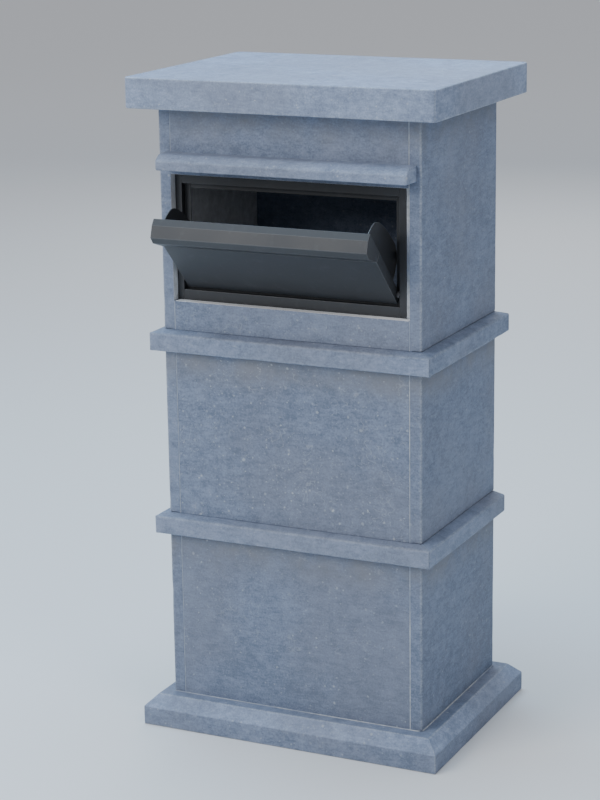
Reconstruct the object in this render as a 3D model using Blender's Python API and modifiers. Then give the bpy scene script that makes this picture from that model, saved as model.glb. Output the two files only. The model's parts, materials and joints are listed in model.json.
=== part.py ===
"""Stone pillar parcel box: bluestone slabs, tilting steel hopper, rear collection door."""
import math

import bmesh
import bpy
from mathutils import Vector

MM = 0.001

# overall stone sizes (mm)
BODY_W = 460.0
BODY_D = 328.0
SLAB = 20.0
CAP_OVER = 40.0
CAP_H = 50.0
TOTAL_H = 1110.0
BASE_EDGE_H = 32.0
BASE_CHAMFER = 20.0
BAND_H = 30.0
BAND_WEATHER = 5.0
BAND_SIDE = 20.0
BAND_FRONT = 16.0
BAND_BACK = 15.0
BAND_1_Z = 657.0
BAND_2_Z = 340.0
SILL_Z = 741.0
LINTEL_Z = 951.0
MOULD_END = 7.3
MOULD_RIGHT = 5.0
MOULD_OUT = 40.0
MOULD_OVER = 11.0
MOULD_EDGE_H = 15.5
MOULD_TOP = 26.0
ARRIS = 1.2
GAP = 0.3

# steel insert and hopper (mm)
INSERT_X = -5.5
FRAME_SET = 14.0
FRAME_DEEP = 14.0
STEP_DEEP = 12.0
SHEET = 2.0
FACE_SIDE = 17.2
FACE_FOOT = 17.5
FACE_HEAD = 16.0
STEP_W = 10.0
STEP_FOOT = 2.5
STEP_HEAD = 9.0
PIVOT_SET = 3.7
PIVOT_RISE = 37.0
PIVOT_P = 10.0
PIVOT_A = 12.6
OPEN_DEG = 45.0
FLAP_GAP = 6.0
RETURN_DEEP = 17.8
CHEEK_GAP = 4.0
PIN_R = 3.0
BUSH_R = 5.5
LIP = [(0.0, 116.3), (-14.0, 143.5), (-12.3, 156.5), (5.5, 165.8), (17.7, 167.8)]
LIP_LEFT = 3.4
CHEEK_FOOT, CHEEK_HEAD = 24.0, 158.5
CHEEK = [(18.0, 157.6), (33.0, 155.4), (44.0, 152.4), (52.0, 148.4),
         (58.0, 141.5), (63.0, 132.0), (67.0, 119.5), (71.0, 100.0), (73.5, 78.0), (74.0, 60.0),
         (70.0, 46.0), (60.0, 34.0), (40.0, 27.0), (20.0, 24.0)]

# rear door (mm)
DOOR_SET = 0.5
DOOR_FRAME_D = 13.5
DOOR_MEMBER = 24.5
SEAL_T = 1.7
LEAF_T = 3.0
LEAF_SIDE = 15.0
LEAF_EDGE = 14.5
BARREL_R = 5.0
BARREL_H = 26.0
HINGE_INSET = 90.0
LOCK_SIDE = 44.7
LOCK_R = 8.0

HOOD_SIDE = 14.7

HX = BODY_W / 2
HY = BODY_D / 2
TOP_Z = TOTAL_H - CAP_H
BASE_TOP = BASE_EDGE_H + BASE_CHAMFER
BAND_T = BAND_H + BAND_WEATHER
INNER_X = HX - SLAB
INNER_Y = HY - SLAB
PANEL_HALF = INNER_X - GAP
MOULD_HALF = PANEL_HALF + MOULD_END
FACE_HALF = PANEL_HALF - FACE_SIDE
THROAT_HALF = FACE_HALF - STEP_W
FLAP_HALF = FACE_HALF - FLAP_GAP
CHEEK_HALF = THROAT_HALF - CHEEK_GAP
LEAF_HALF = PANEL_HALF - LEAF_SIDE
LOCK_X = PANEL_HALF - LOCK_SIDE
FRAME_Y = -HY + FRAME_SET
STEP_Y = FRAME_Y + STEP_DEEP
FACE_Z0 = SILL_Z + FACE_FOOT
FACE_Z1 = LINTEL_Z - FACE_HEAD
THROAT_Z0 = FACE_Z0 + STEP_FOOT
THROAT_Z1 = FACE_Z1 - STEP_HEAD
MOULD_Z = LINTEL_Z + MOULD_OVER
PIVOT_Y = FRAME_Y + PIVOT_SET
PIVOT_Z = SILL_Z + PIVOT_RISE
DOOR_Y = INNER_Y + DOOR_SET
DOOR_Z0 = BASE_TOP + GAP
DOOR_Z1 = BAND_1_Z - GAP
LEAF_Y = DOOR_Y + DOOR_FRAME_D + SEAL_T + 2 * GAP
HINGE_X = -LEAF_HALF - GAP - BARREL_R
HINGE_Y = LEAF_Y + BARREL_R + 0.2
LOCK_Z = (DOOR_Z0 + DOOR_Z1) / 2

for old in list(bpy.data.objects):
    bpy.data.objects.remove(old, do_unlink=True)


def collection(name):
    made = bpy.data.collections.new(name)
    bpy.context.scene.collection.children.link(made)
    return made


PARTS = collection("stone_parcel_pillar")
CUTTERS = collection("cutters")


def material(name, colour, metallic, roughness):
    mat = bpy.data.materials.new(name)
    mat.use_nodes = True
    bsdf = mat.node_tree.nodes["Principled BSDF"]
    bsdf.inputs["Base Color"].default_value = (*colour, 1.0)
    bsdf.inputs["Metallic"].default_value = metallic
    bsdf.inputs["Roughness"].default_value = roughness
    return mat


LOOKS = {
    "stone": ((0.19, 0.24, 0.31), 0.0, 0.75),
    "coat": ((0.045, 0.05, 0.06), 0.0, 0.45),
    "steel": ((0.55, 0.56, 0.58), 1.0, 0.35),
    "rubber": ((0.02, 0.02, 0.02), 0.0, 0.8),
    "nylon": ((0.06, 0.06, 0.065), 0.0, 0.55),
    "zinc": ((0.6, 0.6, 0.58), 1.0, 0.45),
}


def add(bm, name, look, origin=(0.0, 0.0, 0.0), cutter=False):
    """Turn a bmesh in millimetres into a named object with its origin where asked."""
    at = Vector(origin)
    for vert in bm.verts:
        vert.co = (vert.co - at) * MM
    bmesh.ops.recalc_face_normals(bm, faces=bm.faces)
    if bm.calc_volume(signed=True) < 0:
        bmesh.ops.reverse_faces(bm, faces=bm.faces)
    mesh = bpy.data.meshes.new(name)
    bm.to_mesh(mesh)
    bm.free()
    made = bpy.data.objects.new(name, mesh)
    made.location = at * MM
    if cutter:
        CUTTERS.objects.link(made)
        made.hide_render = True
        made.display_type = "WIRE"
    else:
        PARTS.objects.link(made)
        mesh.materials.append(material(name + "_finish", *LOOKS[look]))
    return made


def box_mesh(x, y, z):
    bm = bmesh.new()
    bmesh.ops.create_cube(bm, size=1.0)
    for vert in bm.verts:
        vert.co.x = x[0] if vert.co.x < 0 else x[1]
        vert.co.y = y[0] if vert.co.y < 0 else y[1]
        vert.co.z = z[0] if vert.co.z < 0 else z[1]
    return bm


def box(name, look, x, y, z, arris=0.0, origin=(0.0, 0.0, 0.0), cutter=False):
    made = add(box_mesh(x, y, z), name, look, origin, cutter)
    if arris:
        soften(made, arris)
    return made


def prism(name, look, outline, axis, span, origin=(0.0, 0.0, 0.0), arris=0.0, cutter=False):
    """Outline in the two axes left after `axis`, swept over span along it."""
    bm = bmesh.new()
    place = {
        "X": lambda a, b: (span[0], a, b),
        "Y": lambda a, b: (a, span[0], b),
        "Z": lambda a, b: (a, b, span[0]),
    }[axis]
    ring = [bm.verts.new(place(a, b)) for a, b in outline]
    face = bm.faces.new(ring)
    swept = bmesh.ops.extrude_face_region(bm, geom=[face])
    step = Vector([span[1] - span[0] if axis == k else 0.0 for k in "XYZ"])
    moved = [g for g in swept["geom"] if isinstance(g, bmesh.types.BMVert)]
    bmesh.ops.translate(bm, vec=step, verts=moved)
    made = add(bm, name, look, origin, cutter)
    if arris:
        soften(made, arris)
    return made


def rod(name, look, centre, radius, axis, span, sides=32, origin=(0.0, 0.0, 0.0), cutter=False):
    bm = bmesh.new()
    bmesh.ops.create_cone(bm, cap_ends=True, segments=sides, radius1=radius, radius2=radius,
                          depth=span[1] - span[0])
    mid = (span[0] + span[1]) / 2
    for vert in bm.verts:
        a, b, c = vert.co
        vert.co = {
            "X": (c + mid, a + centre[0], b + centre[1]),
            "Y": (a + centre[0], c + mid, centre[1] - b),
            "Z": (a + centre[0], b + centre[1], c + mid),
        }[axis]
    made = add(bm, name, look, origin, cutter)
    if not cutter:
        for face in made.data.polygons:
            face.use_smooth = len(face.vertices) == 4
    return made


def soften(target, width):
    mod = target.modifiers.new("arris", "BEVEL")
    mod.width = width * MM
    mod.segments = 1
    mod.limit_method = "ANGLE"
    mod.angle_limit = math.radians(30)


def combine(target, other, how):
    mod = target.modifiers.new(how.lower() + "_" + other.name, "BOOLEAN")
    mod.operation = how
    mod.solver = "EXACT"
    mod.object = other


def cut(target, other):
    combine(target, other, "DIFFERENCE")


def join(target, other):
    combine(target, other, "UNION")


# ---------------------------------------------------------------- base and cap
base_half = (HX + CAP_OVER, HY + CAP_OVER)


def base():
    bm = box_mesh((-base_half[0], base_half[0]), (-base_half[1], base_half[1]), (0, BASE_EDGE_H))
    top = [f for f in bm.faces if f.normal.z > 0.9 or f.calc_center_median().z > BASE_EDGE_H - 0.01]
    swept = bmesh.ops.extrude_face_region(bm, geom=top[:1])
    bmesh.ops.delete(bm, geom=top[:1], context="FACES")
    for vert in [g for g in swept["geom"] if isinstance(g, bmesh.types.BMVert)]:
        vert.co.z += BASE_CHAMFER
        vert.co.x -= math.copysign(BASE_CHAMFER, vert.co.x)
        vert.co.y -= math.copysign(BASE_CHAMFER, vert.co.y)
    made = add(bm, "base_slab", "stone")
    soften(made, ARRIS)


base()
box("cap_slab", "stone", (-base_half[0], base_half[0]), (-base_half[1], base_half[1]),
    (TOP_Z, TOTAL_H), ARRIS)

# ---------------------------------------------------------------- shaft sections
SECTIONS = {
    "lower": (BASE_TOP + GAP, BAND_2_Z - GAP),
    "middle": (BAND_2_Z + BAND_T + GAP, BAND_1_Z - GAP),
    "upper": (BAND_1_Z + BAND_T + GAP, TOP_Z - GAP),
}
for name, z in SECTIONS.items():
    box(name + "_side_left", "stone", (-HX, -INNER_X), (-HY, HY), z, ARRIS)
    box(name + "_side_right", "stone", (INNER_X, HX), (-HY, HY), z, ARRIS)
    if name != "upper":
        box(name + "_front_panel", "stone", (-PANEL_HALF, PANEL_HALF), (-HY, -INNER_Y), z, ARRIS)

upper = SECTIONS["upper"]
box("sill_panel", "stone", (-PANEL_HALF, PANEL_HALF), (-HY, -INNER_Y), (upper[0], SILL_Z), ARRIS)
box("lintel_panel", "stone", (-PANEL_HALF, PANEL_HALF), (-HY, -INNER_Y), (LINTEL_Z, upper[1]), ARRIS)
box("upper_back_panel", "stone", (-PANEL_HALF, PANEL_HALF), (INNER_Y, HY), upper, ARRIS)

# ---------------------------------------------------------------- bands, mitred at the corners


def band(name, start, end, z):
    """One mitred length: start and end are (outer point, inner point) in plan."""
    share = BAND_SIDE / (BAND_SIDE + SLAB)
    bm = bmesh.new()
    rows = []
    for outer, inner in (start, end):
        wall = [o + (i - o) * share for o, i in zip(outer, inner)]
        rows.append([(*outer, z), (*outer, z + BAND_H), (*wall, z + BAND_T),
                     (*inner, z + BAND_T), (*inner, z)])
    face = bm.faces.new([bm.verts.new(p) for p in rows[0]])
    swept = bmesh.ops.extrude_face_region(bm, geom=[face])
    for vert in [g for g in swept["geom"] if isinstance(g, bmesh.types.BMVert)]:
        near = min(range(5), key=lambda i: (Vector(rows[0][i]) - vert.co).length)
        vert.co = Vector(rows[1][near])
    soften(add(bm, name, "stone"), 0.8)


def corner(side, end, over, dx=0.0, dy=0.0):
    """Outer and inner plan points of a band's corner; end is -1 at the front, 1 at the back."""
    return ((side * (HX + BAND_SIDE) + dx, end * (HY + over) + dy),
            (side * INNER_X + dx, end * (HY - over * SLAB / BAND_SIDE) + dy))


MITRE = GAP
for name, z, back in (("lower", BAND_2_Z, 0.0), ("upper", BAND_1_Z, BAND_BACK)):
    band(name + "_band_front", corner(-1, -1, BAND_FRONT, MITRE), corner(1, -1, BAND_FRONT, -MITRE), z)
    for side, tag in ((-1, "left"), (1, "right")):
        rear = corner(side, 1, back, 0.0, -MITRE if back else 0.0)
        band(name + "_band_" + tag, corner(side, -1, BAND_FRONT, 0.0, MITRE), rear, z)
    if back:
        band(name + "_band_back", corner(-1, 1, back, MITRE), corner(1, 1, back, -MITRE), z)

# ---------------------------------------------------------------- drip moulding
MY = -HY - GAP
prism("drip_moulding", "stone",
      [(MY, MOULD_Z), (-HY - MOULD_OUT, MOULD_Z), (-HY - MOULD_OUT, MOULD_Z + MOULD_EDGE_H),
       (-HY - MOULD_OUT + 12, MOULD_Z + MOULD_TOP - 1), (MY, MOULD_Z + MOULD_TOP)],
      "X", (-MOULD_HALF, MOULD_HALF + MOULD_RIGHT), arris=0.8)

# ---------------------------------------------------------------- insert frame
frame_x = (-PANEL_HALF, 2 * INSERT_X + PANEL_HALF)
frame = box("insert_frame", "coat", frame_x, (FRAME_Y, FRAME_Y + FRAME_DEEP),
            (SILL_Z + GAP, LINTEL_Z - GAP))
face_x = (INSERT_X - FACE_HALF, INSERT_X + FACE_HALF)
throat_x = (INSERT_X - THROAT_HALF, INSERT_X + THROAT_HALF)
cut(frame, box("cut_face", "", face_x, (FRAME_Y - 5, STEP_Y), (FACE_Z0, FACE_Z1), cutter=True))
cut(frame, box("cut_throat", "", throat_x, (FRAME_Y, FRAME_Y + FRAME_DEEP + 5),
               (THROAT_Z0, THROAT_Z1), cutter=True))
hollow = box("cut_hollow", "", (frame_x[0] + SHEET, frame_x[1] - SHEET),
             (FRAME_Y + SHEET, FRAME_Y + FRAME_DEEP + 5),
             (SILL_Z + GAP + SHEET, LINTEL_Z - GAP - SHEET), cutter=True)
cut(hollow, box("cut_hollow_core", "", (face_x[0] - SHEET, face_x[1] + SHEET),
                (FRAME_Y, FRAME_Y + FRAME_DEEP + 8), (FACE_Z0 - SHEET, FACE_Z1 + SHEET),
                cutter=True))
cut(frame, hollow)
cut(frame, rod("cut_pin_bore", "", (PIVOT_Y, PIVOT_Z), PIN_R + 0.25, "X",
               (face_x[0] - 4, face_x[1] + 4), 24, cutter=True))

box("jamb_packer", "stone", (frame_x[1] + GAP, PANEL_HALF), (FRAME_Y, FRAME_Y + FRAME_DEEP),
    (SILL_Z + GAP, LINTEL_Z - GAP), 0.6)

# ---------------------------------------------------------------- hopper
AXIS = (INSERT_X, PIVOT_Y, PIVOT_Z)
LEAN = math.radians(OPEN_DEG)


def tilt(p, a):
    """Depth behind the hopper face and height up it, to world Y and Z in the open pose."""
    dp, da = p - PIVOT_P, a - PIVOT_A
    return (PIVOT_Y + dp * math.cos(LEAN) - da * math.sin(LEAN),
            PIVOT_Z + dp * math.sin(LEAN) + da * math.cos(LEAN))


def flap_x(half0, half1):
    return (INSERT_X + half0, INSERT_X + half1)


def hopper(name, look, outline, span, cutter=False):
    return prism(name, look, [tilt(p, a) for p, a in outline], "X", span, AXIS, cutter=cutter)


def inset(line, thick):
    """The same open line moved to its right by one thickness."""
    moved = []
    for i, point in enumerate(line):
        sides = []
        for j in (i - 1, i):
            if 0 <= j < len(line) - 1:
                run = Vector(line[j + 1]) - Vector(line[j])
                sides.append(Vector((run.y, -run.x)).normalized())
        across = sum(sides, Vector((0.0, 0.0))).normalized()
        moved.append(tuple(Vector(point) + across * thick / across.dot(sides[0])))
    return moved


lip_foot = LIP[0][1]
skin = hopper("hopper_skin", "coat",
              [(0, 0), (0, lip_foot - GAP), (RETURN_DEEP, lip_foot - GAP),
               (RETURN_DEEP, PIVOT_A), (8.3, 0)], flap_x(-FLAP_HALF, FLAP_HALF))
cut(skin, hopper("cut_skin", "", [(SHEET, SHEET), (SHEET, lip_foot + 5), (30, lip_foot + 5),
                                  (30, SHEET)],
                 flap_x(-FLAP_HALF + SHEET, FLAP_HALF - SHEET), cutter=True))
cut(skin, rod("cut_skin_bore", "", (PIVOT_Y, PIVOT_Z), PIN_R + 0.35, "X",
              flap_x(-FLAP_HALF - 4, FLAP_HALF + 4), 24, AXIS, cutter=True))

lip = hopper("hopper_lip", "coat", LIP + [(LIP[-1][0], lip_foot)],
             flap_x(-FLAP_HALF - LIP_LEFT, FLAP_HALF))
lip_in = inset(LIP, SHEET)
lip_in[0] = (lip_in[0][0], lip_foot - 6)
lip_in[-1] = (LIP[-1][0] + 6, lip_in[-1][1] + 0.5)
lip_in.append((LIP[-1][0] + 6, lip_foot - 6))
cut(lip, hopper("cut_lip", "", lip_in, flap_x(-FLAP_HALF - LIP_LEFT + SHEET, FLAP_HALF - SHEET),
                cutter=True))

hopper("hopper_liner", "coat", [(15.4, 18), (15.4, 160), (17.4, 160), (17.4, 18)],
       flap_x(-CHEEK_HALF + SHEET + GAP, CHEEK_HALF - SHEET - GAP))

LUG_Y = (STEP_Y + 8.0, STEP_Y + 10.5)
LUG_Z = (PIVOT_Z + 53.0, PIVOT_Z + 65.0)
for side, tag in ((-1, "left"), (1, "right")):
    outer, inner = side * CHEEK_HALF, side * (CHEEK_HALF - SHEET)
    span = flap_x(min(outer, inner), max(outer, inner))
    edge = SHEET + 0.4
    cheek = hopper("hopper_cheek_" + tag, "coat",
                   [(edge, CHEEK_FOOT), (edge, CHEEK_HEAD)] + CHEEK, span)
    lug_x = sorted((side * (CHEEK_HALF - SHEET / 2), side * (CHEEK_HALF + 8)))
    join(cheek, box("add_lug_" + tag, "", flap_x(*lug_x), LUG_Y, LUG_Z, origin=AXIS, cutter=True))
    pad_x = sorted((side * (THROAT_HALF + 0.8), side * (THROAT_HALF + 5)))
    box("open_stop_" + tag, "rubber", flap_x(*pad_x),
        (FRAME_Y + FRAME_DEEP + GAP, LUG_Y[0] - GAP), (LUG_Z[0] + 1, LUG_Z[1] - 1), 0.6)
    bush_x = sorted((side * (FLAP_HALF + GAP), side * (FACE_HALF - GAP)))
    bush = rod("pivot_bush_" + tag, "nylon", (PIVOT_Y, PIVOT_Z), BUSH_R, "X", flap_x(*bush_x))
    cut(bush, rod("cut_bush_" + tag, "", (PIVOT_Y, PIVOT_Z), PIN_R + 0.3, "X",
                  flap_x(bush_x[0] - 3, bush_x[1] + 3), 24, cutter=True))
    pin_x = sorted((side * (FLAP_HALF - SHEET - 1), side * (FACE_HALF + SHEET + 1.5)))
    pin = rod("pivot_pin_" + tag, "steel", (PIVOT_Y, PIVOT_Z), PIN_R, "X", flap_x(*pin_x), 24)
    head_x = sorted((side * (FLAP_HALF - SHEET - 3), side * (FLAP_HALF - SHEET - GAP)))
    join(pin, rod("add_head_" + tag, "", (PIVOT_Y, PIVOT_Z), PIN_R + 2, "X",
                  flap_x(*head_x), 24, cutter=True))

# ---------------------------------------------------------------- inside
HOOD_Y = -INNER_Y + GAP
HOOD_Z = THROAT_Z1 + 4
prism("anti_theft_hood", "coat",
      [(HOOD_Y, HOOD_Z + 115), (HOOD_Y, HOOD_Z + 55), (HOOD_Y + 92, HOOD_Z),
       (HOOD_Y + 93, HOOD_Z + 1.8), (HOOD_Y + SHEET, HOOD_Z + 56.2), (HOOD_Y + SHEET, HOOD_Z + 115)],
      "X", (-PANEL_HALF + HOOD_SIDE, PANEL_HALF - HOOD_SIDE))
box("compartment_floor", "coat", (-INNER_X + 1, INNER_X - 1), (-INNER_Y + GAP, DOOR_Y - GAP),
    (BASE_TOP + GAP, BASE_TOP + GAP + 2))

# ---------------------------------------------------------------- rear door
door_in = (PANEL_HALF - DOOR_MEMBER, DOOR_Z0 + DOOR_MEMBER, DOOR_Z1 - DOOR_MEMBER)
door_frame = box("door_frame", "coat", (-PANEL_HALF, PANEL_HALF), (DOOR_Y, DOOR_Y + DOOR_FRAME_D),
                 (DOOR_Z0, DOOR_Z1), 0.6)
cut(door_frame, box("cut_doorway", "", (-door_in[0], door_in[0]), (DOOR_Y - 5, HY),
                    (door_in[1], door_in[2]), cutter=True))
seal_y = (DOOR_Y + DOOR_FRAME_D + GAP, DOOR_Y + DOOR_FRAME_D + GAP + SEAL_T)
seal = box("door_seal", "rubber", (-door_in[0] - 7, door_in[0] + 7), seal_y,
           (door_in[1] - 7, door_in[2] + 7))
cut(seal, box("cut_seal", "", (-door_in[0] - 2, door_in[0] + 2), (DOOR_Y, HY),
              (door_in[1] - 2, door_in[2] + 2), cutter=True))

HINGE = (HINGE_X, HINGE_Y, DOOR_Z0)
leaf_z = (DOOR_Z0 + LEAF_EDGE, DOOR_Z1 - LEAF_EDGE)
leaf = box("door_leaf", "coat", (-LEAF_HALF, LEAF_HALF), (LEAF_Y, LEAF_Y + LEAF_T), leaf_z,
           0.5, HINGE)
backing = box("door_backing", "coat", (-door_in[0] + 5, door_in[0] - 5),
              (LEAF_Y - GAP - SHEET, LEAF_Y - GAP), (door_in[1] + 5, door_in[2] - 5), 0.4, HINGE)
lock_hole = rod("cut_lock_hole", "", (LOCK_X, LOCK_Z), LOCK_R + GAP, "Y",
                (DOOR_Y - 10, HY + 20), 32, cutter=True)
cut(leaf, lock_hole)
cut(backing, lock_hole)

for z, tag in ((DOOR_Z0 + HINGE_INSET, "lower"), (DOOR_Z1 - HINGE_INSET, "upper")):
    fixed = rod("hinge_" + tag + "_fixed", "zinc", (HINGE_X, HINGE_Y), BARREL_R, "Z",
                (z - BARREL_H, z))
    join(fixed, rod("add_pin_" + tag, "", (HINGE_X, HINGE_Y), 2.5, "Z",
                    (z - 5, z + BARREL_H - 4), 20, cutter=True))
    join(fixed, box("add_foot_" + tag, "", (HINGE_X - 4, HINGE_X + 3.5),
                    (DOOR_Y + DOOR_FRAME_D + GAP, HINGE_Y - BARREL_R + 2), (z - BARREL_H, z),
                    cutter=True))
    moving = rod("hinge_" + tag + "_moving", "zinc", (HINGE_X, HINGE_Y), BARREL_R, "Z",
                 (z + GAP, z + GAP + BARREL_H), origin=HINGE)
    cut(moving, rod("cut_pin_" + tag, "", (HINGE_X, HINGE_Y), 2.8, "Z",
                    (z - 5, z + BARREL_H - 3), 20, cutter=True))

LOCK = (LOCK_X, LEAF_Y, LOCK_Z)
face = LEAF_Y + LEAF_T + GAP
lock = rod("lock_body", "zinc", (LOCK_X, LOCK_Z), LOCK_R, "Y", (DOOR_Y + 1, face + 1),
           origin=HINGE)
join(lock, rod("add_lock_rim", "", (LOCK_X, LOCK_Z), LOCK_R + 3, "Y", (face, face + 3), 32,
               cutter=True))
cut(lock, rod("cut_plug", "", (LOCK_X, LOCK_Z), 5.3, "Y", (DOOR_Y - 5, face + 8), 28,
              cutter=True))
nut = rod("lock_nut", "zinc", (LOCK_X, LOCK_Z), LOCK_R + 4, "Y",
          (LEAF_Y - SHEET - 2 * GAP - 4, LEAF_Y - SHEET - 2 * GAP), 6, origin=HINGE)
cut(nut, rod("cut_nut", "", (LOCK_X, LOCK_Z), LOCK_R + GAP, "Y", (DOOR_Y - 10, HY + 20), 32,
             cutter=True))
plug = rod("lock_plug", "steel", (LOCK_X, LOCK_Z), 5.0, "Y", (DOOR_Y - 0.2, face + 2.6),
           28, origin=LOCK)
cut(plug, box("cut_key", "", (LOCK_X - 0.8, LOCK_X + 0.8), (face - 4, face + 6),
              (LOCK_Z - 3, LOCK_Z + 3), cutter=True))
CAM_Y = (DOOR_Y - 3.2, DOOR_Y - 0.5)
cam = prism("lock_cam", "zinc",
            [(LOCK_X - 8, LOCK_Z - 8), (LOCK_X + 8, LOCK_Z - 8), (LOCK_X + 8, LOCK_Z + 30),
             (LOCK_X + 4, LOCK_Z + 36), (LOCK_X - 4, LOCK_Z + 36), (LOCK_X - 8, LOCK_Z + 30)],
            "Y", CAM_Y, LOCK)
screw = rod("cam_screw", "steel", (LOCK_X, LOCK_Z), 4.5, "Y", (CAM_Y[0] - 3.3, CAM_Y[0] - GAP),
            24, origin=LOCK)
cut(screw, box("cut_screw", "", (LOCK_X - 4, LOCK_X + 4), (CAM_Y[0] - 6, CAM_Y[0] - 2.2),
               (LOCK_Z - 0.6, LOCK_Z + 0.6), cutter=True))
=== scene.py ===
import json
import math

import bmesh
import bpy
import numpy as np
from mathutils import Matrix, Vector, noise

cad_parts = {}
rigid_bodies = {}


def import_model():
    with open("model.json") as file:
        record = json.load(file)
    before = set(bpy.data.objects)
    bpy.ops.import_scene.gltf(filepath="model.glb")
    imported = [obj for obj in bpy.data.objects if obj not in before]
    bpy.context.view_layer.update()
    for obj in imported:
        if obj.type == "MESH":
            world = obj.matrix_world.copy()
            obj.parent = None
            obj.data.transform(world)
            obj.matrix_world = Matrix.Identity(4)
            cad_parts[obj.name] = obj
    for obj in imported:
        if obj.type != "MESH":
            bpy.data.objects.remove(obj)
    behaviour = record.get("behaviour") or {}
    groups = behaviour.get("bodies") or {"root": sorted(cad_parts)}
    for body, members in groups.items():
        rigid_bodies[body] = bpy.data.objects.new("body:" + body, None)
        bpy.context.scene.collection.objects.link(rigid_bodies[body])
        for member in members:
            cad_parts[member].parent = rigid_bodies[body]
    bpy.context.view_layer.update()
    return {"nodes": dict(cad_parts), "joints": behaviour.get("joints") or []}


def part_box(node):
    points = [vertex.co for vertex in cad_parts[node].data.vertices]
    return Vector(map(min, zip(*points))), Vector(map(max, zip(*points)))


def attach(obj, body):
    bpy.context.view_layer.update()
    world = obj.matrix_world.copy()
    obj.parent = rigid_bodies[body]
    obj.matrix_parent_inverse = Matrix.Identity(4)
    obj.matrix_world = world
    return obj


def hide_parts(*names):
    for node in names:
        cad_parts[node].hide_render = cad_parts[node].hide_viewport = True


bl_info = {
    "name": "Stone parcel pillar",
    "version": (1, 0, 0),
    "blender": (4, 5, 0),
    "location": "View3D > Sidebar > Pillar",
    "description": "Builds a bluestone parcel pillar with a tilting steel hopper and a rear door",
    "category": "Object",
}

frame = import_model()
MM = 0.001
GAP = 0.0003  # clearance between neighbouring slabs
ON_TOP = 0.0004  # a point this close to a slab's top counts as on it
SHEET = 0.002  # thickness of the folded steel
SEAM = 0.0002  # clearance between folded members
TILT = next(j for j in frame["joints"] if j["name"] == "hopper_tilt")
INSERT_X, PIVOT_Y, PIVOT_Z = TILT["pos_m"]
DOOR_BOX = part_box("door_leaf")


# ------------------------------------------------------------------ sizes and colours


def length(label, text, default, low=0.0, high=1.0):
    return bpy.props.FloatProperty(
        name=label, description=text, default=default, min=low, max=high,
        subtype="DISTANCE", unit="LENGTH", precision=5)


def colour(label, text, default):
    return bpy.props.FloatVectorProperty(
        name=label, description=text, default=default, size=3, min=0.0, max=1.0,
        subtype="COLOR")


def share(label, text, default, high=1.0):
    return bpy.props.FloatProperty(
        name=label, description=text, default=default, min=0.0, max=high, subtype="FACTOR")


class PillarStone(bpy.types.PropertyGroup):
    arris: length("Arris", "Rounding of the shaft's outer corners", 0.0028, 0.0002, 0.01)
    tight: length("Joint arris", "Rounding of the edges that meet another slab", 0.0004, 0.0001, 0.01)
    corner: length("Cap corner", "Rounding of the cap's upright corners", 0.009, 0.001, 0.03)
    moulding: length("Moulding arris", "Rounding of the drip moulding's ends", 0.0048, 0.0002, 0.012)
    chip: share("Chipping", "How far the arris wanders where the stone has spalled", 0.6, 3.0)
    cell: length("Cell", "Spacing of the mesh over a slab's faces", 0.016, 0.004, 0.1)
    joint: length("Joint", "Width of a glued joint beside a front panel", 0.0015, 0.0005, 0.01)
    dark: colour("Dark stone", "Darkest part of the mottling", (0.110, 0.141, 0.208))
    light: colour("Light stone", "Lightest part of the mottling", (0.218, 0.264, 0.366))
    fleck: colour("Fleck", "Fossil flecks and worn arrises", (0.50, 0.53, 0.56))
    warm: colour("Warm patch", "Greyer patches here and there in the stone", (0.190, 0.196, 0.232))
    earth: colour("Earth", "Brownish grey where dust settles under the bands", (0.196, 0.202, 0.220))
    # Sawn stone: paler stone, pushed near white as painted light so that the recessed faces round the
    # opening read bright.
    sawn: colour("Sawn stone", "Pale sawn faces round the opening", (0.90, 0.92, 0.95))
    glue: colour("Joint glue", "Glue in the joints", (0.50, 0.53, 0.57))


class PillarSteel(bpy.types.PropertyGroup):
    edge: length("Edge", "Rounding of a folded sheet's edges", 0.0008, 0.0001, 0.005)
    bend: length("Bend", "Outer radius of the hopper lip's bends", 0.0018, 0.0005, 0.02)
    coat: colour("Coat", "Powder coat on the hopper and the frame", (0.0215, 0.0236, 0.0275))
    bare: colour("Bare metal", "Turned pins, hinges and the lock", (0.55, 0.55, 0.54))
    rubber: colour("Rubber", "Stops and the door seal", (0.018, 0.018, 0.018))


def power(label, text, default):
    return bpy.props.FloatProperty(
        name=label, description=text, default=default, min=0.0, subtype="POWER", unit="POWER")


class PillarStage(bpy.types.PropertyGroup):
    floor: colour("Floor", "Colour of the floor", (0.74, 0.74, 0.74))
    sky: bpy.props.FloatProperty(
        name="Sky", description="Strength of the light all round", default=0.485, min=0.0)
    key: power("Key", "Power of the main soft light", 101.0)
    fill: power("Fill", "Power of the weak light from the right", 13.0)
    over: power("Overhead", "Power of the soft light overhead", 196.0)
    rear: power("Rear", "Power of the soft light from behind", 52.0)


# ------------------------------------------------------------------ materials


class Nodes:
    """Adds nodes to a tree, with their settings and what feeds their inputs."""

    def join(self, value, socket):
        if isinstance(value, bpy.types.NodeSocket):
            self.tree.links.new(value, socket)
        elif value is not None:
            if socket.type == "RGBA":
                value = (*value[:3], 1.0)
            socket.default_value = value

    def add(self, kind, feeds=None, **values):
        """A node with its own settings, and its inputs fed by sockets or by plain values."""
        node = self.tree.nodes.new(kind)
        for key, value in values.items():
            setattr(node, key, value)
        for key, value in (feeds or {}).items():
            self.join(value, node.inputs[key])
        return node


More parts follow.
